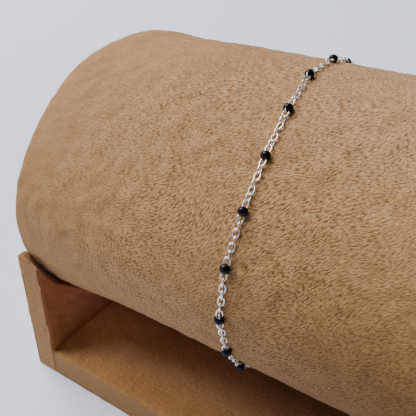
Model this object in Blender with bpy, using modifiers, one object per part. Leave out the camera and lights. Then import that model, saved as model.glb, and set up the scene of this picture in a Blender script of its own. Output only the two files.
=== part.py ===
"""Beaded chain bracelet, closed round a suede-covered oval roll on a plain cradle stand.

Units are metres and +Z is up. The origin is the middle of the stand's underside. The roll's
length runs along X, and -Y is the front, where the beads show.
"""
from math import cos, pi, sin, tau

import bmesh
import bpy
import numpy as np
from mathutils import Matrix, Vector

MM = 0.001

# The roll is an oval pad two inches high over its nap, which the solid leaves off
NAP_HEIGHT = 0.25 * MM
ROLL_HALF_HEIGHT = 25.4 * MM - NAP_HEIGHT
ROLL_HALF_WIDTH = 1.267 * 25.4 * MM - NAP_HEIGHT
ROLL_OVAL_POWER = 1.85
ROLL_LENGTH = 80.2 * MM
ROLL_RIM_RADIUS = 1.0 * MM
ROLL_SIDES = 96

# The stand is a floor board between two end panels, each with a cradle cut for the roll
STAND_LENGTH = ROLL_LENGTH + 1.9 * MM
STAND_HALF_DEPTH = ROLL_HALF_WIDTH + NAP_HEIGHT + 0.4 * MM
PANEL_THICKNESS = 4.8 * MM
PANEL_TOP_BELOW_AXIS = 6.6 * MM
FLOOR_THICKNESS = 5.7 * MM
FLOOR_BELOW_ROLL = 1.95 * MM + NAP_HEIGHT
CRADLE_GAP_AT_SEAT = 0.4 * MM
CRADLE_GAP_AT_HORN = 0.7 * MM
BOARD_EDGE_RADIUS = 0.4 * MM
JOINT_GAP = 0.3 * MM

# The bracelet
BEAD_RADIUS = 0.70 * MM
BEAD_CLEARANCE = 0.15 * MM
BEAD_SIDES = 14
BEAD_RINGS = 10
BEAD_STEP = 8.2 * MM
CHAIN_WIDTH = 0.84 * MM
CHAIN_CLEARANCE = 0.15 * MM
CHAIN_POINTS = 4
CHAIN_GAP = 0.2 * MM

CLASP_RING_RADIUS = 2.2 * MM
CLASP_WIRE_RADIUS = 0.5 * MM
CLASP_EYE_RADIUS = 0.62 * MM
CLASP_EYE_WIRE_RADIUS = 0.22 * MM
CLASP_LEVER_LENGTH = 1.5 * MM

# Millimetres from the roll's crest towards the front, and sideways along the roll
SHOWN_BEADS = (
    {"arc": -14.9, "sideways": -2.3},
    {"arc": -5.6, "sideways": -1.5},
    {"arc": 4.2, "sideways": -1.1},
    {"arc": 13.2, "sideways": 0.0},
    {"arc": 21.8, "sideways": 0.85},
    {"arc": 30.1, "sideways": 1.25},
    {"arc": 38.0, "sideways": 1.35},
    {"arc": 45.6, "sideways": 1.7},
    {"arc": 52.9, "sideways": 2.05},
    {"arc": 61.0, "sideways": 1.9},
)
HIDDEN_BEADS_BELOW = 8
HIDDEN_BEADS_BEHIND = 3

AXIS_HEIGHT = FLOOR_THICKNESS + FLOOR_BELOW_ROLL + ROLL_HALF_HEIGHT
ROUTE_SAMPLES = 2880

SUEDE = {"color": (0.43, 0.27, 0.15), "roughness": 0.95, "metallic": 0.0}
SILVER = {"color": (0.87, 0.86, 0.84), "roughness": 0.22, "metallic": 1.0}
ENAMEL = {"color": (0.008, 0.009, 0.014), "roughness": 0.12, "metallic": 0.0}


def clear_scene():
    for old in list(bpy.context.scene.objects):
        bpy.data.objects.remove(old, do_unlink=True)


def new_collection(name):
    collection = bpy.data.collections.new(name)
    bpy.context.scene.collection.children.link(collection)
    return collection


def new_material(name, finish):
    material = bpy.data.materials.new(name)
    material.use_nodes = True
    shader = material.node_tree.nodes["Principled BSDF"]
    shader.inputs["Base Color"].default_value = (*finish["color"], 1.0)
    shader.inputs["Roughness"].default_value = finish["roughness"]
    shader.inputs["Metallic"].default_value = finish["metallic"]
    return material


def add_object(name, mesh, finish, collection, sharp_angle=0.6):
    mesh.name = name
    mesh.materials.clear()
    mesh.materials.append(new_material(name, finish))
    mesh.shade_smooth()
    mesh.set_sharp_from_angle(angle=sharp_angle)
    piece = bpy.data.objects.new(name, mesh)
    collection.objects.link(piece)
    return piece


def add_bevel(piece, width, segments):
    bevel = piece.modifiers.new("rounded edges", "BEVEL")
    bevel.width = width
    bevel.segments = segments
    bevel.limit_method = "ANGLE"
    bevel.angle_limit = 0.9


def roll_outline(angles, gap=0.0):
    """Points (y, z) round the roll's axis, on |y/a|^n + |z/b|^n = 1 moved outwards by gap.

    Angle 0 is the crest and a quarter turn is the front.
    """
    across = -np.sin(angles)
    up = np.cos(angles)
    reach = (
        np.abs(across / ROLL_HALF_WIDTH) ** ROLL_OVAL_POWER
        + np.abs(up / ROLL_HALF_HEIGHT) ** ROLL_OVAL_POWER
    ) ** (-1 / ROLL_OVAL_POWER)
    y = reach * across
    z = reach * up
    slope_y = np.sign(y) * np.abs(y / ROLL_HALF_WIDTH) ** (ROLL_OVAL_POWER - 1) / ROLL_HALF_WIDTH
    slope_z = np.sign(z) * np.abs(z / ROLL_HALF_HEIGHT) ** (ROLL_OVAL_POWER - 1) / ROLL_HALF_HEIGHT
    steepness = np.hypot(slope_y, slope_z)
    normal = np.stack([slope_y / steepness, slope_z / steepness], axis=-1)
    return np.stack([y, z], axis=-1) + np.asarray(gap)[..., None] * normal, normal


class Route:
    """The bracelet's way round the roll, by its distance from the crest towards the front."""

    def __init__(self):
        angles = np.linspace(0, tau, ROUTE_SAMPLES + 1)
        lift = BEAD_RADIUS + BEAD_CLEARANCE
        self.path, self.normal = roll_outline(angles, np.full(angles.shape, lift))
        steps = np.hypot(*np.diff(self.path, axis=0).T)
        self.arc = np.concatenate([[0.0], np.cumsum(steps)])
        self.length = self.arc[-1]
        self.beads = self.bead_places()

    def bead_places(self):
        """Rows of arc and sideways place, from the hidden one nearest the clasp at the back."""
        shown = np.array([(row["arc"], row["sideways"]) for row in SHOWN_BEADS]) * MM
        behind = shown[0, 0] - BEAD_STEP * np.arange(HIDDEN_BEADS_BEHIND, 0, -1)
        below = shown[-1, 0] + BEAD_STEP * np.arange(1, HIDDEN_BEADS_BELOW + 1)
        arcs = np.concatenate([behind, shown[:, 0], below])
        around = np.concatenate([shown[:, 0], shown[:1, 0] + self.length])
        sideways = np.concatenate([shown[:, 1], shown[:1, 1]])
        wrapped = np.where(arcs < shown[0, 0], arcs + self.length, arcs)
        return np.stack([arcs, np.interp(wrapped, around, sideways)], axis=-1)

    def sideways(self, arc):
        """A smooth curve through the beads: cubic, with each bead's slope from its neighbours."""
        rows = self.beads
        knots = np.concatenate([rows[-2:, 0] - self.length, rows[:, 0], rows[:2, 0] + self.length])
        values = np.concatenate([rows[-2:, 1], rows[:, 1], rows[:2, 1]])
        slopes = np.gradient(values, knots)
        span = int(np.clip(np.searchsorted(knots, arc) - 1, 0, len(knots) - 2))
        width = knots[span + 1] - knots[span]
        t = (arc - knots[span]) / width
        start = (1 + 2 * t) * (1 - t) ** 2 * values[span] + t * (1 - t) ** 2 * width * slopes[span]
        end = t**2 * (3 - 2 * t) * values[span + 1] - t**2 * (1 - t) * width * slopes[span + 1]
        return start + end

    def frame(self, arc, sink=0.0):
        """A matrix at a place on the route: X along the chain, Z away from the roll."""
        there = arc % self.length
        y, z = (np.interp(there, self.arc, self.path[:, i]) for i in (0, 1))
        normal_y, normal_z = (np.interp(there, self.arc, self.normal[:, i]) for i in (0, 1))
        away = Vector((0, normal_y, normal_z)).normalized()
        drift = (self.sideways(arc + 0.2 * MM) - self.sideways(arc - 0.2 * MM)) / (0.4 * MM)
        forward = (Vector((0, -away.z, away.y)) + Vector((drift, 0, 0))).normalized()
        across = away.cross(forward)
        turn = Matrix((forward, across, away)).transposed().to_4x4()
        place = Vector((self.sideways(arc), y, z + AXIS_HEIGHT)) - away * sink
        return Matrix.Translation(place) @ turn


def outline_slab(outline, half_length, centre):
    """A closed slab: the (y, z) outline carried along X."""
    slab = bmesh.new()
    ring = [slab.verts.new((centre - half_length, y, z)) for y, z in outline]
    face = slab.faces.new(ring)
    moved = bmesh.ops.extrude_face_region(slab, geom=[face])
    tops = [item for item in moved["geom"] if isinstance(item, bmesh.types.BMVert)]
    bmesh.ops.translate(slab, verts=tops, vec=(2 * half_length, 0, 0))
    bmesh.ops.recalc_face_normals(slab, faces=slab.faces)
    mesh = bpy.data.meshes.new("slab")
    slab.to_mesh(mesh)
    slab.free()
    return mesh


def make_roll(collection):
    angles = np.linspace(0, tau, ROLL_SIDES, endpoint=False)
    outline, _ = roll_outline(angles, np.zeros(ROLL_SIDES))
    outline[:, 1] += AXIS_HEIGHT
    roll = add_object("roll", outline_slab(outline, ROLL_LENGTH / 2, 0.0), SUEDE, collection)
    add_bevel(roll, ROLL_RIM_RADIUS, 3)


def panel_outline():
    """Half the outline of an end panel, then its mirror: foot, front edge, horn, cradle."""
    reach = np.linspace(0, pi / 2, 25)
    across = 1 - reach / (pi / 2)
    gaps = CRADLE_GAP_AT_SEAT + (CRADLE_GAP_AT_HORN - CRADLE_GAP_AT_SEAT) * across**3
    cradle, _ = roll_outline(pi / 2 + reach, gaps)
    cradle = cradle[cradle[:, 1] < -PANEL_TOP_BELOW_AXIS - 0.6 * MM]
    horn_inner_y = cradle[0, 0]
    tip_radius = (horn_inner_y + STAND_HALF_DEPTH) / 2
    tip_y = horn_inner_y - tip_radius
    tip_z = -PANEL_TOP_BELOW_AXIS - tip_radius
    tip = [(tip_y + tip_radius * cos(a), tip_z + tip_radius * sin(a)) for a in np.linspace(pi, 0, 7)]
    half = [(-STAND_HALF_DEPTH, -AXIS_HEIGHT), *tip, *cradle[1:].tolist()]
    whole = half + [(-y, z) for y, z in reversed(half) if y < -1e-9]
    return [(y, z + AXIS_HEIGHT) for y, z in whole]


def make_end_panel(name, side, collection):
    centre = side * (STAND_LENGTH - PANEL_THICKNESS) / 2
    mesh = outline_slab(panel_outline(), PANEL_THICKNESS / 2, centre)
    add_bevel(add_object(name, mesh, SUEDE, collection), BOARD_EDGE_RADIUS, 2)


def make_base_floor(collection):
    board = bmesh.new()
    bmesh.ops.create_cube(board, size=1.0)
    length = STAND_LENGTH - 2 * (PANEL_THICKNESS + JOINT_GAP)
    bmesh.ops.scale(board, vec=(length, 2 * STAND_HALF_DEPTH, FLOOR_THICKNESS), verts=board.verts)
    bmesh.ops.translate(board, vec=(0, 0, FLOOR_THICKNESS / 2), verts=board.verts)
    mesh = bpy.data.meshes.new("base_floor")
    board.to_mesh(mesh)
    board.free()
    add_bevel(add_object("base_floor", mesh, SUEDE, collection), BOARD_EDGE_RADIUS, 2)


def make_beads(route, collection):
    for number, (arc, _) in enumerate(route.beads, start=1):
        ball = bmesh.new()
        bmesh.ops.create_uvsphere(
            ball, u_segments=BEAD_SIDES, v_segments=BEAD_RINGS, radius=BEAD_RADIUS,
            matrix=Matrix.Rotation(pi / 2, 4, "Y"),
        )
        mesh = bpy.data.meshes.new("bead")
        ball.to_mesh(mesh)
        ball.free()
        bead = add_object(f"bead_{number:02d}", mesh, ENAMEL, collection)
        bead.matrix_world = route.frame(arc)


def make_chain_stretch(name, route, start, end, collection):
    """A tube from one bead to the next, which sinks onto the roll between them."""
    curve = bpy.data.curves.new(name, "CURVE")
    curve.dimensions = "3D"
    curve.bevel_depth = CHAIN_WIDTH / 2
    curve.bevel_resolution = 2
    curve.use_fill_caps = True
    spline = curve.splines.new("POLY")
    spline.points.add(CHAIN_POINTS - 1)
    deepest = BEAD_RADIUS + BEAD_CLEARANCE - CHAIN_WIDTH / 2 - CHAIN_CLEARANCE
    for point, t in zip(spline.points, np.linspace(0, 1, CHAIN_POINTS)):
        sink = deepest * sin(pi * t) ** 2
        place = route.frame(start + (end - start) * t, sink).translation
        point.co = (*place, 1.0)
    curve.materials.append(new_material(name, SILVER))
    collection.objects.link(bpy.data.objects.new(name, curve))


def make_chain(route, collection):
    arcs = route.beads[:, 0]
    clear = BEAD_RADIUS + CHAIN_GAP
    clasp_clear = CLASP_RING_RADIUS + CLASP_WIRE_RADIUS + 2 * CLASP_EYE_RADIUS + CHAIN_GAP
    clasp_arc = clasp_place(route)
    stretches = [(a + clear, b - clear) for a, b in zip(arcs[:-1], arcs[1:])]
    stretches.append((arcs[-1] + clear, clasp_arc - clasp_clear))
    stretches.append((clasp_arc + clasp_clear, arcs[0] + route.length - clear))
    for number, (start, end) in enumerate(stretches, start=1):
        make_chain_stretch(f"chain_{number:02d}", route, start, end, collection)


def clasp_place(route):
    """The clasp is in the middle of the longest hidden run, behind the roll."""
    return (route.beads[-1, 0] + route.beads[0, 0] + route.length) / 2


def ring_mesh(ring_radius, wire_radius, ring_sides, wire_sides, place):
    """A torus in the XY plane, from a turned wire circle."""
    ring = bmesh.new()
    wire = bmesh.ops.create_circle(
        ring, segments=wire_sides, radius=wire_radius,
        matrix=Matrix.Translation((ring_radius, 0, 0)) @ Matrix.Rotation(pi / 2, 4, "X"),
    )
    geometry = wire["verts"] + ring.edges[:]
    bmesh.ops.spin(
        ring, geom=geometry, cent=(0, 0, 0), axis=(0, 0, 1), angle=tau,
        steps=ring_sides, use_merge=True,
    )
    bmesh.ops.recalc_face_normals(ring, faces=ring.faces)
    bmesh.ops.translate(ring, verts=ring.verts, vec=place)
    mesh = bpy.data.meshes.new("ring")
    ring.to_mesh(mesh)
    ring.free()
    return mesh


def lever_mesh():
    """The small round lever that stands out of the clasp's rim."""
    lever = bmesh.new()
    bmesh.ops.create_cone(
        lever, cap_ends=True, segments=8, radius1=0.32 * MM, radius2=0.32 * MM,
        depth=CLASP_LEVER_LENGTH,
        matrix=Matrix.Translation((0, CLASP_RING_RADIUS + 0.35 * MM, 0.15 * MM))
        @ Matrix.Rotation(pi / 2, 4, "X"),
    )
    mesh = bpy.data.meshes.new("lever")
    lever.to_mesh(mesh)
    lever.free()
    return mesh


def make_clasp(route, collection, helpers):
    """A round clasp with an eye at each end, fused into one piece."""
    body = ring_mesh(CLASP_RING_RADIUS, CLASP_WIRE_RADIUS, 28, 8, (0, 0, 0))
    clasp = add_object("clasp", body, SILVER, collection)
    eye_place = CLASP_RING_RADIUS + CLASP_WIRE_RADIUS + CLASP_EYE_RADIUS
    extras = [
        ring_mesh(CLASP_EYE_RADIUS, CLASP_EYE_WIRE_RADIUS, 14, 6, (side * eye_place, 0, 0))
        for side in (-1, 1)
    ]
    extras.append(lever_mesh())
    place = route.frame(clasp_place(route))
    clasp.matrix_world = place
    for number, mesh in enumerate(extras, start=1):
        extra = bpy.data.objects.new(f"clasp_extra_{number}", mesh)
        extra.hide_render = True
        extra.display_type = "WIRE"
        extra.matrix_world = place
        helpers.objects.link(extra)
        union = clasp.modifiers.new(f"joined {number}", "BOOLEAN")
        union.operation = "UNION"
        union.object = extra


def main():
    clear_scene()
    parts = new_collection("beaded_bracelet_on_roll_stand")
    helpers = new_collection("helpers")
    route = Route()
    make_roll(parts)
    make_base_floor(parts)
    make_end_panel("end_panel_left", -1, parts)
    make_end_panel("end_panel_right", 1, parts)
    make_beads(route, parts)
    make_chain(route, parts)
    make_clasp(route, parts, helpers)


main()
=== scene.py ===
"""Looks of a fine cable chain bracelet with black enamel beads, closed round a suede roll.

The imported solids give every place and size. Each piece here is a surface worked out with numpy
as whole arrays, and each finish is built from nodes.
"""
from math import pi, radians, tau

import bmesh
import bpy
import numpy as np
from bpy.props import FloatProperty, FloatVectorProperty, IntProperty, PointerProperty
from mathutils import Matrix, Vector


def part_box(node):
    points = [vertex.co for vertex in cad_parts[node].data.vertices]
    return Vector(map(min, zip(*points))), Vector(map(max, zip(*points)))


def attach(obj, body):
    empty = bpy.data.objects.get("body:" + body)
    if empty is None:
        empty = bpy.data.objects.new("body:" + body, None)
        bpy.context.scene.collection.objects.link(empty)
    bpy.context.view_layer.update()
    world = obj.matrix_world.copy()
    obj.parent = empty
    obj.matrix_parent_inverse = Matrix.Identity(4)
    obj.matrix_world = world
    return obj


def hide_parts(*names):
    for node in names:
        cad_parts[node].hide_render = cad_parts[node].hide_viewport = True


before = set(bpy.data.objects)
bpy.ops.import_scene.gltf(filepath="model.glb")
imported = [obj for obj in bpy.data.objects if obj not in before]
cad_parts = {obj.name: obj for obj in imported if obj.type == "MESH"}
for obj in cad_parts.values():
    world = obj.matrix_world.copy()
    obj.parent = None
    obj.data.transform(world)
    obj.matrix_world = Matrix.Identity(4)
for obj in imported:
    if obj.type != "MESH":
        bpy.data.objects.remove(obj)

bl_info = {
    "name": "Beaded Bracelet on a Roll",
    "version": (1, 0, 0),
    "blender": (4, 5, 0),
    "location": "View3D > Sidebar > Bracelet",
    "description": "Chain links, enamel beads, suede roll and stand for the bracelet",
    "category": "Add Mesh",
}

MM = 0.001
BODY = "root"

# The suede's nap, which the roll's solid leaves off
NAP = 0.25 * MM
ROLL_LOW, ROLL_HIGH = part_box("roll")
ROLL_HALF_LENGTH = (ROLL_HIGH.x - ROLL_LOW.x) / 2
ROLL_HALF_WIDTH = (ROLL_HIGH.y - ROLL_LOW.y) / 2 + NAP
ROLL_HALF_HEIGHT = (ROLL_HIGH.z - ROLL_LOW.z) / 2 + NAP
AXIS_HEIGHT = (ROLL_HIGH.z + ROLL_LOW.z) / 2
ROLL_OVAL_POWER = 1.85
# The padding fills the roll's ends more squarely than its middle: the oval's power in an end's
# lower half, and in its upper half
ROLL_END_POWER = 2.03
ROLL_END_UPPER_POWER = 1.96
PANEL_NAMES = ("end_panel_left", "end_panel_right")
HORN_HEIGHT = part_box(PANEL_NAMES[0])[1].z
FLOOR_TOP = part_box("base_floor")[1].z
BEAD_NAMES = sorted(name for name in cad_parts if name.startswith("bead_"))
CHAIN_NAMES = sorted(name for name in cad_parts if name.startswith("chain_"))


def node_middle(name):
    low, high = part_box(name)
    return np.array((low + high) / 2)


def unit(vectors):
    """Each vector divided by its length, along the last axis."""
    return vectors / np.linalg.norm(vectors, axis=-1, keepdims=True)


class RollSettings(bpy.types.PropertyGroup):
    tip_colour: FloatVectorProperty(
        name="Tip colour", description="Suede where the nap stands up and catches the light",
        subtype="COLOR", size=3, min=0, max=1, default=(0.54, 0.317, 0.148),
    )
    # The valley colour is the suede's darker fibres together with painted shade between the tufts
    valley_colour: FloatVectorProperty(
        name="Valley colour", description="Suede between the tufts of the nap",
        subtype="COLOR", size=3, min=0, max=1, default=(0.15, 0.058, 0.015),
    )
    # Painted shade that darkens and warms the roll low at the right of its front
    painted_shade_tint: FloatVectorProperty(
        name="Painted shade tint", description="Tint of the painted shade low at the right of the roll",
        subtype="COLOR", size=3, min=0, max=1, default=(0.52, 0.48, 0.40),
    )
    rim_radius: FloatProperty(
        name="Rim radius", description="Rounding where the roll's side turns into its ends",
        unit="LENGTH", min=0.0005, max=0.005, default=0.75 * MM,
    )
    droop: FloatProperty(
        name="Droop",
        description="Share of its upper height that the padding loses at its left end",
        min=0, max=0.1, default=0.036,
    )
    shoulder: FloatProperty(
        name="Shoulder", description="Swelling of the padding's front shoulder at its left end",
        unit="LENGTH", min=0, max=0.002, default=0.55 * MM,
    )
    crown: FloatProperty(
        name="End crown", description="How far the padded ends swell out at their middle",
        unit="LENGTH", min=0, max=0.001, default=0.6 * MM,
    )
    relief: FloatProperty(
        name="Relief", description="Height of the clumps that brushing leaves in the nap",
        unit="LENGTH", min=0, max=0.0005, default=0.05 * MM,
    )
    streak_length: FloatProperty(
        name="Streak length", description="Length of one brushed streak of nap",
        unit="LENGTH", min=0.0001, max=0.01, default=0.60 * MM,
    )
    streak_width: FloatProperty(
        name="Streak width", description="Width of one brushed streak of nap",
        unit="LENGTH", min=0.0001, max=0.01, default=0.20 * MM,
    )
    lean: FloatProperty(
        name="Lean", description="Way the streaks run, turned from the roll's length",
        subtype="ANGLE", default=radians(-42),
    )


class StandSettings(bpy.types.PropertyGroup):
    edge_radius: FloatProperty(
        name="Edge radius", description="Rounding of the suede-wrapped board edges",
        unit="LENGTH", min=0.0002, max=0.002, default=0.48 * MM,
    )
    foot_radius: FloatProperty(
        name="Foot radius", description="Rounding of the boards' bottom edges",
        unit="LENGTH", min=0.0001, max=0.002, default=0.2 * MM,
    )
    cradle_radius: FloatProperty(
        name="Cradle radius", description="Rounding of a panel's inner edge along the roll",
        unit="LENGTH", min=0.0002, max=0.0022, default=0.45 * MM,
    )
    cradle_gap: FloatProperty(
        name="Cradle gap", description="Gap between the roll and a panel's inner edge",
        unit="LENGTH", min=0, max=0.002, default=1.4 * MM,
    )
    relief: FloatProperty(
        name="Relief", description="Unevenness of the suede on the boards",
        unit="LENGTH", min=0, max=0.0005, default=0.04 * MM,
    )


class ChainSettings(bpy.types.PropertyGroup):
    pitches: IntProperty(
        name="Links a bead", description="Link pitches from one bead to the next",
        min=3, max=20, default=8,
    )
    link_length: FloatProperty(
        name="Link length", description="Outer length of one oval link",
        unit="LENGTH", min=0.0005, max=0.005, default=1.50 * MM,
    )
    link_width: FloatProperty(
        name="Link width", description="Outer width of one oval link",
        unit="LENGTH", min=0.0003, max=0.003, default=1.09 * MM,
    )
    wire: FloatProperty(
        name="Wire", description="Diameter of the links' wire",
        unit="LENGTH", min=0.0001, max=0.001, default=0.235 * MM,
    )
    colour: FloatVectorProperty(
        name="Silver", description="Colour of the polished wire",
        subtype="COLOR", size=3, min=0, max=1, default=(1.0, 0.955, 0.935),
    )


class BeadSettings(bpy.types.PropertyGroup):
    radius: FloatProperty(
        name="Radius", description="Mean radius of a bead's enamel",
        unit="LENGTH", min=0.0003, max=0.003, default=0.74 * MM,
    )
    colour: FloatVectorProperty(
        name="Enamel", description="Colour of the bead's enamel",
        subtype="COLOR", size=3, min=0, max=1, default=(0.003, 0.003, 0.007),
    )
    unevenness: FloatProperty(
        name="Unevenness", description="Share of the radius by which a bead is out of round",
        min=0, max=0.1, default=0.03,
    )


class StageSettings(bpy.types.PropertyGroup):
    floor_colour: FloatVectorProperty(
        name="Floor", description="Colour of the pale floor",
        subtype="COLOR", size=3, min=0, max=1, default=(0.785, 0.825, 1.0),
    )
    key_energy: FloatProperty(
        name="Key light", description="Power of the large soft light overhead and to the left",
        unit="POWER", min=0, default=49.5,
    )
    front_energy: FloatProperty(
        name="Front light", description="Power of the weak light low at the left front",
        unit="POWER", min=0, default=0.02,
    )
    fill_strength: FloatProperty(
        name="Fill", description="Strength of the even light from all round",
        min=0, default=0.12,
    )


SETTINGS = {
    "bracelet_roll": RollSettings,
    "bracelet_stand": StandSettings,
    "bracelet_chain": ChainSettings,
    "bracelet_beads": BeadSettings,
    "bracelet_stage": StageSettings,
}


class Channel:
    """One output of a finish's nodes, with arithmetic that adds Math nodes."""

    def __init__(self, finish, socket):
        self.finish = finish
        self.socket = socket

    def apply(self, operation, *others):
        values = dict(enumerate([self, *others]))
        return self.finish.node("ShaderNodeMath", {"operation": operation}, values)

    def __add__(self, other):
        return self.apply("ADD", other)

    def __sub__(self, other):
        return self.apply("SUBTRACT", other)

    def __rsub__(self, other):
        values = {0: other, 1: self}
        return self.finish.node("ShaderNodeMath", {"operation": "SUBTRACT"}, values)

    def __mul__(self, other):
        return self.apply("MULTIPLY", other)

    def __pow__(self, other):
        return self.apply("POWER", other)

    def clamped(self, start, end):
        """A mask: 0 at the start, 1 at the end, and even in between. The end may be lower."""
        values = {"Value": self, "From Min": start, "From Max": end}
        return self.finish.node("ShaderNodeMapRange", {"clamp": True}, values)


class Finish:
    """A material and the nodes that feed its one Principled shader."""

    def __init__(self, name, values):
        self.material = bpy.data.materials.new(name)
        self.material.use_nodes = True
        self.tree = self.material.node_tree
        self.shader = self.tree.nodes["Principled BSDF"]
        for socket, value in values.items():
            self.feed(self.shader.inputs[socket], value)

    def feed(self, socket, value):
        if isinstance(value, Channel):
            self.tree.links.new(value.socket, socket)
        elif hasattr(value, "__len__") and len(value) == 3 and socket.type == "RGBA":
            socket.default_value = (*value, 1.0)
        else:
            socket.default_value = value

    def node(self, kind, settings, values, output=0):
        """A node of that kind, its settings made first, then its sockets fed."""
        node = self.tree.nodes.new(kind)
        for setting, value in settings.items():
            setattr(node, setting, value)
        for socket, value in values.items():
            self.feed(node.inputs[socket], value)
        return Channel(self, node.outputs[output])

    def vector(self, operation, *values):
        return self.node("ShaderNodeVectorMath", {"operation": operation}, dict(enumerate(values)))

    def place(self):
        """The place on the object, which is the fourth output of a Texture Coordinate node."""
        return self.node("ShaderNodeTexCoord", {}, {}, 3)

    def place_parts(self):
        """The place on the object along each of its three axes."""
        values = {"Vector": self.place()}
        return [self.node("ShaderNodeSeparateXYZ", {}, values, i) for i in range(3)]

    def grey(self, value):
        """One value as a vector of three."""
        return self.node("ShaderNodeCombineXYZ", {}, {"X": value, "Y": value, "Z": value})

    def noise(self, place, scale=1.0, detail=2.0, roughness=0.5, output=0):
        values = {"Vector": place, "Scale": scale, "Detail": detail, "Roughness": roughness}
        return self.node("ShaderNodeTexNoise", {}, values, output)

    def mixed(self, factor, first, second, blend="MIX"):
        """Two colours mixed; the sockets of a colour Mix node are numbered 0, 6 and 7."""
        settings = {"data_type": "RGBA", "blend_type": blend}
        return self.node("ShaderNodeMix", settings, {0: factor, 6: first, 7: second}, 2)

    def tinted(self, mask, colour, tint):
        """A colour multiplied by a tint as far as a mask lets it."""
        return self.mixed(mask, colour, tint, blend="MULTIPLY")

    def set(self, socket, value):
        self.feed(self.shader.inputs[socket], value)

    def bump(self, height, distance):
        values = {"Height": height, "Distance": distance}
        self.set("Normal", self.node("ShaderNodeBump", {}, values))


# The suede's pattern: the size of its slow swirl and how far it moves the dashes, the size of the
# grain and of the patches, and the height of the nap for its bump
SWIRL_SIZE = 16 * MM
SWIRL_SHIFT = 7 * MM
GRAIN_SIZE = 0.11 * MM
PATCH_SIZE = 2.6 * MM
NAP_BUMP = 0.22 * MM
# The share of tips that shows where handling has worn the nap smooth
WORN_SHARE = 0.66

# Tints of the suede's colour, each under its own mask. Apart from the boards' own tint, they are
#  painted shade and painted light
# Painted shade, warmer and a little darker, on the roll's lower front, whose faces look down
LOWER_FRONT_SHADE_TINT = (0.97, 0.96, 0.86)
# Painted highlight, paler and bluer, on the roll's crest at the right
CREST_HIGHLIGHT_TINT = (1.09, 1.16, 1.34)
BOARD_TINT = (0.9, 0.84, 0.68)
# Painted shade on the boards towards the right
RIGHT_SHADE_TINT = (0.76, 0.76, 0.74)
# Painted shade, redder and darker, on the panels' inner faces, as light bounced off the suede
# leaves it
INNER_FACE_SHADE_TINT = (1.0, 0.72, 0.72)
# Painted light that brightens the suede deep inside the stand
DEEP_LIGHT_TINT = (1.8, 1.85, 2.8)
# Painted light on the floor board's open part at the left
OPEN_FLOOR_LIGHT_TINT = (1.65, 1.75, 2.1)
# Painted shade on the horns' tops, which face the light
HORN_SHADE_TINT = (0.8, 0.79, 0.88)


def suede_finish(name, tints, contrast=1.0, worn=0.0):
    """Short-napped tan suede: fine dashes on the nap's own map, bent by a slow swirl and broken
    up by grain, over drifting patches. The dashes mix the suede's own darker and lighter fibres
    with painted shade between the tufts and painted light on their tips. Towards the ends handling
    has worn the nap smooth. tints is the function that colours it by place."""
    roll = bpy.context.scene.bracelet_roll
    finish = Finish(name, {
        "Roughness": 0.95, "Sheen Weight": 0.13, "Sheen Roughness": 0.4,
        "Sheen Tint": (1.0, 0.96, 0.92), "Specular IOR Level": 0.1,
    })
    nap = finish.node("ShaderNodeUVMap", {"uv_map": "nap"}, {})
    swirl = finish.noise(nap, scale=1 / SWIRL_SIZE, detail=1.0, output=1)
    swirl = finish.vector("SUBTRACT", swirl, (0.5, 0.5, 0.5))
    swirl = finish.vector("MULTIPLY", swirl, (SWIRL_SHIFT, SWIRL_SHIFT, 0))
    dash_place = finish.node("ShaderNodeMapping", {"vector_type": "TEXTURE"}, {
        "Vector": finish.vector("ADD", nap, swirl), "Rotation": (0, 0, roll.lean),
        "Scale": (roll.streak_length, roll.streak_width, 1.0),
    })
    dash = finish.noise(dash_place, detail=1.0, roughness=0.55)
    grain = finish.noise(nap, scale=1 / GRAIN_SIZE, detail=1.0, roughness=0.6)
    patch = finish.noise(nap, scale=1 / PATCH_SIZE, detail=3.0) - 0.5
    height = dash * 0.62 + grain * 0.38
    lit = (height + patch * 0.12).clamped(0.37, 0.57)
    near_end = finish.place_parts()[0].apply("ABSOLUTE").clamped(13 * MM, 37 * MM)
    kept = (1 - near_end * worn) * contrast
    shown = (lit - WORN_SHARE) * kept + WORN_SHARE
    # Mixing the valley and tip colours paints shade between the nap's tufts and light on their
    # tips, over the suede's own streaks of colour
    suede = finish.mixed(shown, roll.valley_colour, roll.tip_colour)
    suede = finish.vector("MULTIPLY", suede, finish.grey(patch * 0.16 + 1.0))
    finish.set("Base Color", tints(finish, suede))
    finish.bump(height * kept, NAP_BUMP)
    return finish.material


def roll_tints(finish, suede):
    """The roll's colour, with painted shade that darkens it low at the right and makes it a
    little warmer all along the lower front, and a painted highlight that makes the crest paler at
    the right."""
    x, y, z = finish.place_parts()
    lower_front = z.clamped(AXIS_HEIGHT + 17 * MM, AXIS_HEIGHT) * y.clamped(20 * MM, 0.0)
    # Painted shade, darker and more saturated low at the right of the roll's front
    low_right_shade = (lower_front * x.clamped(-6 * MM, 26 * MM)) ** 0.95
    # Painted highlight on the crest at the right
    crest = z.clamped(AXIS_HEIGHT + 19 * MM, AXIS_HEIGHT + 25.5 * MM)
    crest_highlight = crest * x.clamped(-14 * MM, 8 * MM)
    suede = finish.tinted(low_right_shade, suede, bpy.context.scene.bracelet_roll.painted_shade_tint)
    # Painted shade, warmer along the lower front
    suede = finish.tinted(lower_front, suede, LOWER_FRONT_SHADE_TINT)
    return finish.tinted(crest_highlight, suede, CREST_HIGHLIGHT_TINT)


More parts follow.
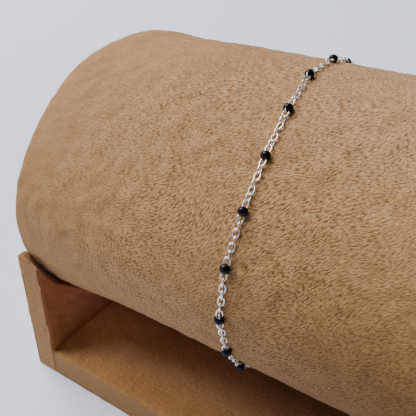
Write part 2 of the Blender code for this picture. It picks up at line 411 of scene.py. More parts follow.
def board_tints(finish, suede):
    """The boards, with painted shade that darkens them to the right and at the horns' tips and
    makes the panels' inner faces redder, and painted light deep inside the stand and on the open
    floor at the left."""
    x, y, z = finish.place_parts()
    side, depth = x.apply("ABSOLUTE"), y.apply("ABSOLUTE")
    within = side.clamped(36.6 * MM, 36.2 * MM)
    # The panels' inner faces, which get a redder painted shade
    face = within * side.clamped(35.3 * MM, 35.7 * MM) * depth.clamped(33.1 * MM, 32.5 * MM)
    inner_face = face * z.clamped(FLOOR_TOP, FLOOR_TOP + 0.4 * MM)
    # Deep inside the stand, which gets painted light
    deep = within * depth.clamped(29.5 * MM, 19 * MM)
    floor = within * z.clamped(FLOOR_TOP + 0.4 * MM, FLOOR_TOP)
    # The floor board's open part at the left, which gets painted light
    open_floor = floor * x.clamped(-20 * MM, -34 * MM) * depth.clamped(32.0 * MM, 29.5 * MM)
    # The horns' tips, which get painted shade
    horn = z.clamped(HORN_HEIGHT - 1.2 * MM, HORN_HEIGHT - 0.2 * MM)
    suede = finish.vector("MULTIPLY", suede, BOARD_TINT)
    # The first mask paints shade on the boards towards the right; the others are the painted shade
    # and light masked above
    for mask, tint in (
        (x.clamped(-25 * MM, 5 * MM), RIGHT_SHADE_TINT), (inner_face, INNER_FACE_SHADE_TINT),
        (deep, DEEP_LIGHT_TINT), (open_floor, OPEN_FLOOR_LIGHT_TINT), (horn, HORN_SHADE_TINT),
    ):
        suede = finish.tinted(mask, suede, tint)
    return suede


def silver_finish():
    """Polished silver wire, a little duller in drifting patches."""
    chain = bpy.context.scene.bracelet_chain
    finish = Finish("silver", {"Metallic": 1.0})
    cloud = finish.noise(finish.place(), scale=900.0, detail=3.0)
    dull = tuple(0.88 * part for part in chain.colour)
    finish.set("Base Color", finish.mixed(cloud.clamped(0.35, 0.75), chain.colour, dull))
    finish.set("Roughness", cloud * 0.2 + 0.26)
    return finish.material


def enamel_finish():
    """Black enamel under a clear gloss, with a faint unevenness in the coat."""
    beads = bpy.context.scene.bracelet_beads
    finish = Finish("enamel", {
        "Base Color": beads.colour, "Roughness": 0.12, "Specular IOR Level": 0.16,
    })
    finish.bump(finish.noise(finish.place(), scale=1400.0), 0.03 * MM)
    return finish.material


def floor_finish():
    """Even pale paper."""
    colour = bpy.context.scene.bracelet_stage.floor_colour
    finish = Finish("floor", {"Roughness": 0.9, "Specular IOR Level": 0.1})
    cloud = finish.noise(finish.place(), scale=6.0)
    faint = tuple(0.985 * part for part in colour)
    finish.set("Base Color", finish.mixed(cloud, colour, faint))
    return finish.material


def corner_map(nap):
    """Each quad's four corners on the suede's map, from a grid with one column more."""
    left, right = nap[:, :-1], nap[:, 1:]
    return np.stack([left[:-1], right[:-1], right[1:], left[1:]], axis=2)


def wrapped_quads(rows, columns):
    """The quads of a grid whose columns wrap round, by the numbers of their four points."""
    here = np.arange(rows * columns).reshape(rows, columns)
    beside = np.roll(here, -1, axis=1)
    return np.stack([here[:-1], beside[:-1], beside[1:], here[1:]], axis=-1).reshape(-1, 4)


def closed_piece(name, points, quads, corners=None):
    """A smooth closed mesh as an object. corners holds each quad's four places on the suede's
    map."""
    mesh = bpy.data.meshes.new(name)
    mesh.from_pydata(points.reshape(-1, 3), [], quads)
    if corners is not None:
        layer = mesh.uv_layers.new(name="nap")
        layer.data.foreach_set("uv", corners.astype(np.float32).ravel())
    close_mesh(mesh)
    mesh.shade_smooth()
    piece = bpy.data.objects.new(name, mesh)
    bpy.context.scene.collection.objects.link(piece)
    return piece


def grid_piece(name, points, corners=None):
    """A piece from one grid of points, rows by columns. Rows that fall on one point or on one
    line are welded shut."""
    return closed_piece(name, points, wrapped_quads(*points.shape[:2]), corners)


def joined_grids(name, grids):
    """A piece from several closed grids of one shape: rows by columns of points for each."""
    count, rows, columns = grids.shape[:3]
    starts = np.arange(count)[:, None, None] * rows * columns
    return closed_piece(name, grids, (wrapped_quads(rows, columns) + starts).reshape(-1, 4))


WELD = 0.5e-6


def close_mesh(mesh):
    """Welds what falls together and turns the faces outwards."""
    work = bmesh.new()
    work.from_mesh(mesh)
    bmesh.ops.remove_doubles(work, verts=work.verts, dist=WELD)
    bmesh.ops.dissolve_degenerate(work, edges=work.edges, dist=WELD / 5)
    bmesh.ops.recalc_face_normals(work, faces=work.faces)
    work.to_mesh(mesh)
    work.free()


def dress(piece, material, slot, *nodes):
    """Gives a piece its finish and its body, and hides the solids that it stands for."""
    piece.data.materials.clear()
    piece.data.materials.append(material)
    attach(piece, BODY)
    if nodes:
        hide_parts(*nodes)
    return piece


def oval(turn, gap=0.0, n=ROLL_OVAL_POWER):
    """Points (y, z) on |y/a|^n + |z/b|^n = 1 about the roll's axis, moved outwards by gap.

    turn is 0 at the crest and a quarter turn at the front. The normals come with them.
    """
    across, up = -np.sin(turn), np.cos(turn)
    reach = (np.abs(across / ROLL_HALF_WIDTH) ** n + np.abs(up / ROLL_HALF_HEIGHT) ** n) ** (-1 / n)
    y, z = reach * across, reach * up
    normal = unit(np.stack([
        np.sign(y) * np.abs(y / ROLL_HALF_WIDTH) ** (n - 1) / ROLL_HALF_WIDTH,
        np.sign(z) * np.abs(z / ROLL_HALF_HEIGHT) ** (n - 1) / ROLL_HALF_HEIGHT,
    ], axis=-1))
    return np.stack([y, z], axis=-1) + np.asarray(gap)[..., None] * normal, normal


def arcs_along(path):
    """Distance from the start of a path of (y, z) points to each of them."""
    return np.concatenate([[0.0], np.cumsum(np.hypot(*np.diff(path, axis=0).T))])


def even_turns(count):
    """Turns whose points stand equally far apart round the oval, and its girth."""
    fine = np.linspace(0, tau, 40 * count + 1)
    arc = arcs_along(oval(fine)[0])
    return np.interp(np.linspace(0, arc[-1], count + 1), arc, fine), arc[-1]


# Over what distance the lean of the clumps changes, and how long and wide the clumps are
SLOW_WAVE = 5 * MM
ROLL_CLUMPS = (0.9 * MM, 0.4 * MM)
BOARD_CLUMPS = (1.2 * MM, 0.6 * MM)


def brushed_relief(shape, spacing, length, width, lean, seed):
    """A height of mean 0 and deviation 1: white noise whose waves are damped by
    exp(-(kx L)^2 / 2 - (ky W)^2 / 2) along and across a lean, for three leans that a slow
    noise chooses between."""
    random = np.random.default_rng(seed)
    white = np.fft.fft2(random.standard_normal(shape))
    k_rows = tau * np.fft.fftfreq(shape[0], spacing[0])[:, None]
    k_columns = tau * np.fft.fftfreq(shape[1], spacing[1])[None, :]
    slow_damping = np.exp(-(k_rows**2 + k_columns**2) * SLOW_WAVE**2 / 2)
    slow = np.real(np.fft.ifft2(np.fft.fft2(random.standard_normal(shape)) * slow_damping))
    slow /= slow.std()
    total = np.zeros(shape)
    for turn, centre in ((-0.6, -1.0), (0.0, 0.0), (0.6, 1.0)):
        angle = lean + turn
        along = k_rows * np.cos(angle) + k_columns * np.sin(angle)
        across = k_columns * np.cos(angle) - k_rows * np.sin(angle)
        damped = white * np.exp(-((along * length) ** 2 + (across * width) ** 2) / 2)
        field = np.real(np.fft.ifft2(damped))
        total += field / field.std() * np.exp(-((slow - centre) ** 2) * 1.5)
    return total / total.std()


def raised(points, height):
    """A closed grid moved outwards by a height: along the cross product of its two slopes."""
    down = np.gradient(points, axis=0)
    wrapped = np.concatenate([points[:, -1:], points, points[:, :1]], axis=1)
    across = (wrapped[:, 2:] - wrapped[:, :-2]) / 2
    normal = np.cross(down, across)
    if np.sum(normal * (points - points.mean(axis=(0, 1)))) < 0:
        normal = -normal
    length = np.linalg.norm(normal, axis=-1, keepdims=True)
    return points + normal / np.maximum(length, 1e-15) * height[..., None]


def end_to_end(reach, radius, side_rows, rim_rows, cap_rows, crown=0.0):
    """Rows from one end's middle to the other's. They give each row's place along the way, how
    far its outline is pulled in (r - r sin a round the rim), and what share of it the closing
    end leaves, which is 1 between the ends."""
    grown = np.linspace(0, 1, cap_rows, endpoint=False)
    bend = np.linspace(0, pi / 2, rim_rows, endpoint=False)
    side = np.linspace(1, 0, side_rows // 2, endpoint=False)
    place = np.concatenate([
        reach + crown * (1 - grown**2),
        reach - radius + radius * np.cos(bend),
        (reach - radius) * side,
    ])
    inset = np.concatenate([np.full(cap_rows, radius), radius * (1 - np.sin(bend)), 0 * side])
    share = np.concatenate([grown, np.ones(rim_rows + len(side))])
    return (
        np.concatenate([-place, [0.0], place[::-1]]),
        np.concatenate([inset, [0.0], inset[::-1]]),
        np.concatenate([share, [1.0], share[::-1]]),
    )


# How far from the roll's middle its fuller section, its shoulder and its droop begin, and over
# what length each grows to its full size
FULLER_FROM = 19 * MM
SHOULDER_FROM = 15 * MM
DROOP_FROM = 17 * MM
END_LENGTH = 19 * MM
# The rim holds the padding up: from where, over what length, and by what share of the droop
RIM_FROM = 32 * MM
RIM_LENGTH = 5 * MM
RIM_HOLD = 0.55
# Where the shoulder's swelling ends, turned from the crest to just past the front
SHOULDER_TURN = radians(92)
# Where the ends' part of the nap's map lies, clear of the side's
END_MAP_PLACE = (0.2, 0.0)


def eased(place, start, length):
    """0 up to the start and 1 a length further on, by 3 s^2 - 2 s^3 in between."""
    share = np.clip((place - start) / length, 0, 1)
    return share**2 * (3 - 2 * share)


def padding(settings, turns, x, inset):
    """The roll's wall, as points (y, z) about its axis for each place x and turn.

    The oval's power n grows towards the ends by e(x) = 3 s^2 - 2 s^3. At the left end the front
    shoulder swells by h e(x) sin(2 pi w) sin(pi w), w going from 0 at the crest to 1 just past
    the front, and the upper half sinks by d e(x) b (z / b)^3, less so at the rim.
    """
    x = x[:, None]
    end_power = np.where(np.cos(turns) > 0, ROLL_END_UPPER_POWER, ROLL_END_POWER)
    fuller = eased(np.abs(x), FULLER_FROM, END_LENGTH)
    power = ROLL_OVAL_POWER + (end_power - ROLL_OVAL_POWER) * fuller
    way = np.clip(turns / SHOULDER_TURN, 0, 1)
    swelling = settings.shoulder * eased(-x, SHOULDER_FROM, END_LENGTH)
    swelling = swelling * np.sin(tau * way) * np.sin(pi * way)
    wall, _ = oval(turns[None], swelling - inset[:, None], power)
    held = RIM_HOLD * np.clip((-x - RIM_FROM) / RIM_LENGTH, 0, 1)
    droop = settings.droop * eased(-x, DROOP_FROM, END_LENGTH) * (1 - held)
    high = np.maximum(wall[..., 1], 0) / ROLL_HALF_HEIGHT
    wall[..., 1] -= high**3 * ROLL_HALF_HEIGHT * droop
    return wall


class BRACELET_OT_roll(bpy.types.Operator):
    """Make the padded roll: its oval section carried along its length, round the rims and in
    over the crowned ends, with the clumps that brushing leaves in the nap standing on it"""

    bl_idname = "bracelet.roll"
    bl_label = "Suede roll"

    def execute(self, context):
        settings = context.scene.bracelet_roll
        around, side_rows, rim_rows, cap_rows = 420, 170, 6, 14
        turns, girth = even_turns(around)
        x, inset, share = end_to_end(
            ROLL_HALF_LENGTH, settings.rim_radius, side_rows, rim_rows, cap_rows, settings.crown)
        wall = padding(settings, turns[:-1], x, inset)
        section = wall * share[:, None, None] + (0, AXIS_HEIGHT)
        along = np.broadcast_to(x[:, None, None], (len(x), around, 1))
        points = np.concatenate([along, section], axis=-1)
        spacing = (2 * ROLL_HALF_LENGTH / side_rows, girth / around)
        relief = brushed_relief(points.shape[:2], spacing, *ROLL_CLUMPS, settings.lean, 7)
        points = raised(points, settings.relief * relief * share[:, None] ** 12)
        arc = np.linspace(0, girth, around + 1)
        side_map = np.stack(np.broadcast_arrays(x[:, None], arc[None, :]), axis=-1)
        end_map = np.concatenate([points, points[:, :1]], axis=1)[..., 1:] + END_MAP_PLACE
        on_end = (np.minimum(share[:-1], share[1:]) < 1)[:, None, None, None]
        corners = np.where(on_end, corner_map(end_map), corner_map(side_map))
        piece = grid_piece("suede_roll", points, corners)
        suede = suede_finish("suede on the roll", roll_tints, worn=0.7)
        dress(piece, suede, "suede", "roll")
        return {"FINISHED"}


def board_ring(half_width, height, radii, pitch):
    """Round a board's section: where each point's corner centre is, from -1 to 1 across and
    from 0 to 1 up, its normal, and the distance round to it. The radii are those of the top's
    left and right edge and of the bottom's."""
    mean = sum(radii) / len(radii)
    across = np.linspace(1, -1, max(2, int(2 * (half_width - mean) / pitch)) + 1)[1:-1]
    up = np.linspace(1, 0, max(2, int((height - 2 * mean) / pitch)) + 1)[1:-1]
    corner = np.linspace(0, pi / 2, 7)
    core = []
    normal = []
    sides = (
        ((1, 1), across, 0), ((-1, 1), up, 1), ((-1, 0), across[::-1], 0), ((1, 0), up[::-1], 1),
    )
    for quarter, (centre, steps, moving) in enumerate(sides):
        turn = corner + quarter * pi / 2
        core.append(np.tile(np.array(centre, float), (len(corner), 1)))
        normal.append(np.stack([np.cos(turn), np.sin(turn)], axis=-1))
        straight = np.tile(np.array(centre, float), (len(steps), 1))
        straight[:, moving] = steps
        core.append(straight)
        normal.append(np.tile(np.round(normal[-1][-1:]), (len(steps), 1)))
    core, normal = np.concatenate(core), np.concatenate(normal)
    upper = np.interp(core[:, 0], (-1, 1), radii[:2])
    radius = np.where(core[:, 1] < 1, radii[2], upper)
    outline = core * (half_width - mean, height - 2 * mean) + normal * radius[:, None]
    return core, normal, radius, upper, arcs_along(np.concatenate([outline, outline[:1]]))


# Half of how much further in than its solid's a panel's inner face stands
PANEL_SHIFT = 0.17 * MM
# How far the floor board reaches into the panels, and the roll into the outer edge of their cut
FLOOR_REACH = 0.5 * MM
SEATING = 0.4 * MM
# Where along Y the cut's gap is widest, over what distance it narrows, and to what share
GAP_PLACE = 31.3 * MM
GAP_SPREAD = 2.5 * MM
GAP_LEAST = 0.2


def cradle_top(y, highest, gap):
    """Height of an end panel: the roll's lower oval moved out by a gap, up to the horns. A gap
    outwards is m + (1 - m) exp(-((|y| - c) / w)^2) of itself, so it is widest by the horns."""
    turn = np.linspace(pi / 2, 3 * pi / 2, 721)
    away = (np.abs(np.sin(turn)) * ROLL_HALF_WIDTH - GAP_PLACE) / GAP_SPREAD
    wide = GAP_LEAST + (1 - GAP_LEAST) * np.exp(-away**2)
    cut, _ = oval(turn, gap * (wide if gap > 0 else 1), ROLL_END_POWER)
    top = np.interp(y, cut[:, 0], cut[:, 1] + AXIS_HEIGHT)
    return np.minimum(np.where(np.abs(y) < cut[:, 0].max(), top, highest), highest)


class BRACELET_OT_stand(bpy.types.Operator):
    """Make the stand's suede-wrapped boards: each is a rounded box section carried from front
    to back, as high as the cradle's cut leaves it, and closed over its front and back edges"""

    bl_idname = "bracelet.stand"
    bl_label = "Stand"

    def execute(self, context):
        settings = context.scene.bracelet_stand
        suede = suede_finish("suede on the boards", board_tints, contrast=0.5)
        edge, cradle, foot = settings.edge_radius, settings.cradle_radius, settings.foot_radius
        floor = self.board("floor_board", "base_floor", pitch=0.5 * MM, cradled=False, seed=0,
                           radii=(edge, edge, foot))
        dress(floor, suede, "suede", "base_floor")
        for seed, node in enumerate(PANEL_NAMES, start=1):
            radii = (edge, cradle, foot) if seed == 1 else (cradle, edge, foot)
            panel = self.board(node.replace("panel", "board"), node, pitch=0.3 * MM, cradled=True,
                               seed=seed, radii=radii)
            dress(panel, suede, "suede", node)
        return {"FINISHED"}

    def board(self, name, node, pitch, cradled, seed, radii):
        """Sweeps the section along Y. A panel's ends close onto their upright middle line, and
        the floor's onto their level one, flush with the panels'. A panel's top goes from the
        roll's seat at its outer edge to the open gap at its inner edge, by t^1.3 across."""
        settings = bpy.context.scene.bracelet_stand
        low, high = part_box(node)
        half_width, half_depth = (high.x - low.x) / 2, (high.y - low.y) / 2
        middle = (low.x + high.x) / 2
        if cradled:
            half_width += PANEL_SHIFT
            middle -= np.sign(middle) * PANEL_SHIFT
        else:
            half_width += FLOOR_REACH
        core, normal, radius, upper, arc = board_ring(half_width, high.z - low.z, radii, pitch)
        rows = int(2 * half_depth / pitch)
        y, inset, share = end_to_end(half_depth, settings.edge_radius, rows, 6, 5)
        inset, share = inset[:, None], share[:, None]
        top = np.full((len(y), 1), high.z)
        if cradled:
            tight = cradle_top(y, high.z, -SEATING)[:, None]
            loose = cradle_top(y, high.z, settings.cradle_gap)[:, None]
            inward = (1 - core[:, 0] * np.sign(middle)) / 2
            top = tight + (loose - tight) * inward**1.3
        span = top - low.z - radii[2] - upper
        rest = radius - np.minimum(inset, radius)
        x = core[:, 0] * (half_width - radius) + normal[:, 0] * (rest if cradled else radius)
        z = low.z + radii[2] + core[:, 1] * span + normal[:, 1] * rest
        if cradled:
            x = x * share
        else:
            level = (low.z + high.z) / 2
            z = level + (z - level) * share
        x = middle + x
        points = np.stack(np.broadcast_arrays(x, y[:, None], z), axis=-1)
        relief = brushed_relief(
            points.shape[:2], (pitch, pitch), *BOARD_CLUMPS, lean=0.9, seed=40 + seed)
        points = raised(points, settings.relief * relief * share**2)
        points[..., 2] = np.maximum(points[..., 2], low.z)
        travel = np.abs(np.diff(y)) + np.abs(np.diff(share[:, 0])) * half_width / 2
        along = 0.5 + 0.1 * seed + np.concatenate([[0.0], np.cumsum(travel)])
        nap = np.stack(np.broadcast_arrays(along[:, None], arc), axis=-1)
        return grid_piece(name, points, corner_map(nap))


class Route:
    """The chain's way round the roll by arc, from the hidden bead nearest the clasp."""

    # How high the beads' centres stand over the nap
    lift = 0.60 * MM

    def __init__(self):
        turn = np.linspace(0, tau, 7201)
        self.path, self.normal = oval(turn, np.full(turn.shape, self.lift))
        self.arc = arcs_along(self.path)
        self.length = self.arc[-1]
        centres = np.array([node_middle(name) for name in BEAD_NAMES])
        away = centres[:, None, 1:] - (0, AXIS_HEIGHT) - self.path[None]
        found = self.arc[np.argmin(np.sum(away**2, axis=-1), axis=1)]
        steps = np.mod(np.diff(found), self.length)
        self.beads = found[0] - self.length + np.concatenate([[0.0], np.cumsum(steps)])
        self.sideways = centres[:, 0]
        self.clasp = (self.beads[-1] + self.beads[0] + self.length) / 2

    def frames(self, arc, sink=0.0):
        """Places and turning matrices for arcs: columns along the chain, across it, and away
        from the roll."""
        around = np.append(self.beads, self.beads[0] + self.length)
        sideways = np.append(self.sideways, self.sideways[0])
        x = np.interp(arc, around, sideways)
        step = 0.3 * MM
        drift = np.interp(arc + step, around, sideways) - np.interp(arc - step, around, sideways)
        there = np.mod(arc, self.length)
        yz, away = (
            np.stack([np.interp(there, self.arc, line[:, i]) for i in (0, 1)], axis=-1)
            for line in (self.path, self.normal))
        away = unit(away)
        flat = np.zeros_like(x)
        up = np.stack([flat, away[:, 0], away[:, 1]], axis=-1)
        along = unit(np.stack([drift / (2 * step), -away[:, 1], away[:, 0]], axis=-1))
        across = np.cross(up, along)
        place = np.stack([x, yz[:, 0], yz[:, 1] + AXIS_HEIGHT], axis=-1)
        place = place - up * np.broadcast_to(sink, x.shape)[:, None]
        return place, np.stack([along, across, up], axis=-1)


def wire_ring(centre_line, radius, sides):
    """A closed wire: P(t) + r (cos s N(t) + sin s Z), for a flat centre line P in the XY plane
    whose normal in that plane is N. Its last row is its first, for the weld."""
    ahead = np.roll(centre_line, -1, axis=0) - np.roll(centre_line, 1, axis=0)
    outward = unit(np.stack([ahead[:, 1], -ahead[:, 0]], axis=-1))
    turn = np.linspace(0, tau, sides, endpoint=False)
    reach = np.broadcast_to(radius, len(centre_line))[:, None]
    x = centre_line[:, :1] + reach * np.cos(turn) * outward[:, :1]
    y = centre_line[:, 1:] + reach * np.cos(turn) * outward[:, 1:]
    z = reach * np.sin(turn)
    ring = np.stack(np.broadcast_arrays(x, y, z), axis=-1)
    return np.concatenate([ring, ring[:1]])


def flat_oval(half_length, half_width, count, power=2.3):
    """A closed line |x/a|^n + |y/b|^n = 1 in the XY plane."""
    turn = np.linspace(0, tau, count, endpoint=False)
    cosine, sine = np.cos(turn), np.sin(turn)
    x = half_length * np.sign(cosine) * np.abs(cosine) ** (2 / power)
    y = half_width * np.sign(sine) * np.abs(sine) ** (2 / power)
    return np.stack([x, y], axis=-1)


def placed(shapes, place, turn):
    """Shapes, or one shape for all, turned by each matrix and moved to each place."""
    return shapes @ np.swapaxes(turn, 1, 2)[:, None] + place[:, None, None, :]


CLASP_RING = 2.2 * MM
CLASP_WIRE = 0.5 * MM
CLASP_EYE = 0.62 * MM
CLASP_EYE_WIRE = 0.22 * MM
EYE_MIDDLE = CLASP_RING + CLASP_WIRE + CLASP_EYE
# Where the lever stands out of the ring's rim
LEVER_PLACE = (0, CLASP_RING + CLASP_WIRE - 0.1 * MM, 0.12 * MM)

# Steps round a link's oval, and sides of its wire
LINK_STEPS = 18
WIRE_SIDES = 7
# How high the middle of a link lies where it rests on the suede
LINK_REST = 0.25 * MM
# What share of its length the link in a bead has, and how much a link's turn scatters, in radians
HIDDEN_LINK_SHARE = 0.78
TURN_SCATTER = 0.09

# How the links of a stretch lie, in degrees about the chain's line: their middle turn, and how
# far each stands to one side of it
LINK_TURNS = {
    "chain_04": (-50, -38), "chain_05": (-42, -38), "chain_06": (-34, -38),
    "chain_07": (-28, -38), "chain_08": (-29, -37), "chain_09": (17, 44), "chain_10": (17, 44),
    "chain_11": (10, 44),
}

# How far the link in a bead is pulled out of its enamel, along the chain
LOOP_SHIFTS = {"bead_06": 0.24 * MM, "bead_07": 0.24 * MM, "bead_11": -0.24 * MM}

# How much deeper than the others a bead has pressed into the suede
BEAD_SINKS = {"bead_04": 0.35 * MM}


class BRACELET_OT_chain(bpy.types.Operator):
    """Make the cable chain: oval wire rings in a row, turned to one side and then to the other,
    and sunk onto the suede between two beads by sin^2 of the way"""

    bl_idname = "bracelet.chain"
    bl_label = "Chain links"

    def execute(self, context):
        settings = context.scene.bracelet_chain
        route = Route()
        silver = silver_finish()
        wire = settings.wire / 2
        half_length, half_width = settings.link_length / 2, settings.link_width / 2
        line = flat_oval(half_length - wire, half_width - wire, LINK_STEPS)
        self.link = wire_ring(line, wire, WIRE_SIDES)
        self.random = np.random.default_rng(11)
        spans = list(zip(route.beads[:-1], route.beads[1:]))
        hooked = 3.6 * wire
        reach = EYE_MIDDLE + CLASP_EYE + half_length - hooked
        spans.append((route.beads[-1], route.clasp - reach))
        spans.append((route.clasp + reach, route.beads[0] + route.length))
        for number, (name, span) in enumerate(zip(CHAIN_NAMES, spans)):
            arcs, sink = self.link_arcs(span, settings, number, len(spans))
            shapes = np.tile(self.link, (len(arcs), 1, 1, 1))
            if number < len(BEAD_NAMES):
                shapes[0] = self.link_in_bead(BEAD_NAMES[number])
            place, turn = route.frames(arcs, sink)
            turn = turn @ self.rolls(len(arcs), number)
            piece = joined_grids(name.replace("chain", "links"), placed(shapes, place, turn))
            dress(piece, silver, "silver", name)
        return {"FINISHED"}

    def link_in_bead(self, bead):
        """A link left short, so that the bead hides it, or pulled out where a loop shows."""
        if bead in LOOP_SHIFTS:
            return self.link + (LOOP_SHIFTS[bead], 0, 0)
        return self.link * (HIDDEN_LINK_SHARE, 1, 1)

    def link_arcs(self, span, settings, number, count):
        """Arcs of a stretch's links and how deep they lie. The one inside its first bead counts
        with it, and the two by the clasp reach to its eyes."""
        start, end = span
        to_clasp, from_clasp = number == count - 2, number == count - 1
        pitches = settings.pitches
        if to_clasp or from_clasp:
            pitch = settings.link_length - 2.1 * settings.wire
            pitches = round((end - start) / pitch)
        share = np.arange(pitches + 1) / pitches
        if not to_clasp:
            share = share[:-1]
        deepest = Route.lift - LINK_REST
        sink = deepest * np.sin(pi * share) ** 2
        if to_clasp:
            sink = deepest * np.sin(pi * share / 2) ** 2 * (1 - share)
        return start + (end - start) * share, sink

    def rolls(self, count, number):
        """Turns about the chain's own line, to one side and then to the other of a middle."""
        middle, apart = LINK_TURNS.get(CHAIN_NAMES[number], (0, 45))
        side = np.where(np.arange(count) % 2 == 0, 1, -1)
        scatter = self.random.normal(0, TURN_SCATTER, count)
        angle = radians(middle) + side * radians(apart) + scatter
        zero, one = np.zeros(count), np.ones(count)
        cosine, sine = np.cos(angle), np.sin(angle)
        rows = [[one, zero, zero], [zero, cosine, -sine], [zero, sine, cosine]]
        return np.moveaxis(np.array(rows), -1, 0)


# A bead's dimples: their depth as a share of its radius, and the angle over which they fade
DIMPLE_DEPTH = 0.16
DIMPLE_ANGLE = 0.3
# A bead's length along the chain, as a share of its width, and the least and the greatest size
# of a bead, as shares of the mean
BEAD_LENGTH_SHARE = 0.96
BEAD_SIZES = (0.97, 1.03)


class BRACELET_OT_beads(bpy.types.Operator):
    """Make the enamel beads: each is r (1 + e (sin^2 a cos(2 b + p) + 0.7 sin a cos a cos(b + q)))
    over two angles a and b, with a dimple at each end where the wire goes in"""

    bl_idname = "bracelet.beads"
    bl_label = "Enamel beads"

    def execute(self, context):
        settings = context.scene.bracelet_beads
        route = Route()
        enamel = enamel_finish()
        random = np.random.default_rng(5)
        place, turn = route.frames(route.beads)
        pole = np.linspace(0, pi, 21)[:, None]
        around = np.linspace(0, tau, 28, endpoint=False)[None, :]
        for number, name in enumerate(BEAD_NAMES):
            radius = settings.radius * random.uniform(*BEAD_SIZES)
            lumps = np.sin(pole) ** 2 * np.cos(2 * around + random.uniform(0, tau))
            leaning = np.cos(around + random.uniform(0, tau))
            lumps = lumps + 0.7 * np.sin(pole) * np.cos(pole) * leaning
            dimples = sum(np.exp(-((end / DIMPLE_ANGLE) ** 2)) for end in (pole, pi - pole))
            reach = radius * (1 + settings.unevenness * lumps - DIMPLE_DEPTH * dimples)
            shape = np.stack(np.broadcast_arrays(
                BEAD_LENGTH_SHARE * reach * np.cos(pole),
                reach * np.sin(pole) * np.cos(around),
                reach * np.sin(pole) * np.sin(around),
            ), axis=-1)
            middle = node_middle(name) - turn[number][:, 2] * BEAD_SINKS.get(name, 0.0)
            grid = placed(shape, middle[None], turn[number][None])[0]
            piece = grid_piece(name.replace("bead", "enamel_bead"), grid)
            dress(piece, enamel, "enamel", name)
        return {"FINISHED"}


class BRACELET_OT_clasp(bpy.types.Operator):
    """Make the round clasp behind the roll: a wire ring that swells by exp(-(t - pi/2)^2 / 0.5)
    towards its lever, an eye at each end and the small lever that opens it"""

    bl_idname = "bracelet.clasp"
    bl_label = "Clasp"

    def execute(self, context):
        route = Route()
        silver = bpy.data.materials["silver"]
        place, turn = route.frames(np.array([route.clasp]))
        count = 64
        angle = np.linspace(0, tau, count, endpoint=False)
        swell = CLASP_WIRE * (0.9 + 0.14 * np.exp(-((angle - pi / 2) ** 2) / 0.5))
        body = wire_ring(flat_oval(CLASP_RING, CLASP_RING, count, 2.0), swell, 16)
        piece = joined_grids("clasp_ring", placed(body, place, turn))
        dress(piece, silver, "silver", "clasp")
        eye = wire_ring(flat_oval(CLASP_EYE, CLASP_EYE, 28, 2.0), CLASP_EYE_WIRE, 10)
        for side, name in ((-1, "clasp_eye_front"), (1, "clasp_eye_back")):
            moved = eye + (side * EYE_MIDDLE, 0, 0)
            dress(joined_grids(name, placed(moved, place, turn)), silver, "silver")
        lever = self.lever() + LEVER_PLACE
        dress(joined_grids("clasp_lever", placed(lever, place, turn)), silver, "silver")
        return {"FINISHED"}

    def lever(self):
        """A turned pin with a round head: radius r(s) about Y."""
        along = np.array([0.0, 0.0, 0.15, 0.45, 0.5, 0.62, 0.78, 0.9, 0.95]) * MM
        radius = np.array([0.0, 0.2, 0.2, 0.2, 0.3, 0.36, 0.32, 0.18, 0.0]) * MM
        around = np.linspace(0, tau, 16, endpoint=False)[None, :]
        x = radius[:, None] * np.cos(around)
        z = radius[:, None] * np.sin(around)
        return np.stack(np.broadcast_arrays(x, along[:, None], z), axis=-1)


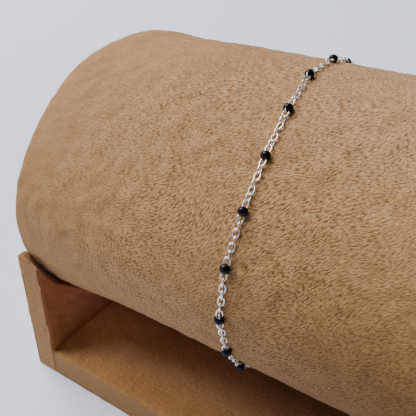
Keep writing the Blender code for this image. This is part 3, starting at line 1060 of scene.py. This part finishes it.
class BRACELET_OT_stage(bpy.types.Operator):
    """Set up the pale floor, the soft light from the upper left and the camera"""

    bl_idname = "bracelet.stage"
    bl_label = "Stage"

    def execute(self, context):
        settings = context.scene.bracelet_stage
        self.camera(context)
        self.floor()
        self.surround(context, settings)
        self.light("key light", place=(-0.93, -0.045, 1.2), size=1.2, energy=settings.key_energy)
        self.light("front light", place=(-0.22, -0.20, 0.06), size=0.10,
                   energy=settings.front_energy)
        return {"FINISHED"}

    def camera(self, context):
        """Looks down and to the left along the roll from its right front corner."""
        data = bpy.data.cameras.new("camera")
        data.lens = 49.7
        data.sensor_width = 36.0
        data.clip_start = 1 * MM
        camera = bpy.data.objects.new("camera", data)
        from_axis = Vector((32.9, -81.9, 53.4)) * MM
        camera.location = from_axis + Vector((0, 0, AXIS_HEIGHT))
        camera.rotation_euler = (1.0212, 0.0, 0.5919)
        context.scene.collection.objects.link(camera)
        context.scene.camera = camera

    def floor(self):
        rings = np.array([0.0, 0.05, 0.1, 0.3, 0.8, 2.5])[:, None]
        around = np.linspace(0, tau, 48, endpoint=False)[None, :]
        below = -0.02 * MM
        flat = np.stack(np.broadcast_arrays(
            rings * np.cos(around), rings * np.sin(around), below), axis=-1)
        floor = grid_piece("floor", flat)
        floor.data.materials.append(floor_finish())

    def surround(self, context, settings):
        world = bpy.data.worlds.new("surround")
        world.use_nodes = True
        background = world.node_tree.nodes["Background"]
        background.inputs["Color"].default_value = (1.0, 0.97, 0.93, 1.0)
        background.inputs["Strength"].default_value = settings.fill_strength
        context.scene.world = world

    def light(self, name, place, size, energy):
        data = bpy.data.lights.new(name, "AREA")
        data.size = size
        data.energy = energy
        light = bpy.data.objects.new(name, data)
        light.location = place
        aim = Vector((0, 0, AXIS_HEIGHT)) - light.location
        light.rotation_euler = aim.to_track_quat("-Z", "Y").to_euler()
        bpy.context.scene.collection.objects.link(light)


OPERATORS = (
    BRACELET_OT_stage, BRACELET_OT_roll, BRACELET_OT_stand,
    BRACELET_OT_chain, BRACELET_OT_beads, BRACELET_OT_clasp,
)


class BRACELET_PT_sidebar(bpy.types.Panel):
    """Lists the pieces and their settings"""

    bl_label = "Beaded bracelet"
    bl_idname = "BRACELET_PT_sidebar"
    bl_space_type = "VIEW_3D"
    bl_region_type = "UI"
    bl_category = "Bracelet"

    def draw(self, context):
        for name, settings in SETTINGS.items():
            box = self.layout.box()
            for setting in settings.__annotations__:
                box.prop(getattr(context.scene, name), setting)
        for operator in OPERATORS:
            self.layout.operator(operator.bl_idname)


def register():
    for group in (*SETTINGS.values(), *OPERATORS, BRACELET_PT_sidebar):
        bpy.utils.register_class(group)
    for name, settings in SETTINGS.items():
        setattr(bpy.types.Scene, name, PointerProperty(type=settings))


def unregister():
    for name in SETTINGS:
        delattr(bpy.types.Scene, name)
    for group in reversed((*SETTINGS.values(), *OPERATORS, BRACELET_PT_sidebar)):
        bpy.utils.unregister_class(group)


def main():
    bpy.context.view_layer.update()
    register()
    for operator in OPERATORS:
        section, action = operator.bl_idname.split(".")
        getattr(getattr(bpy.ops, section), action)()


if __name__ == "__main__":
    main()
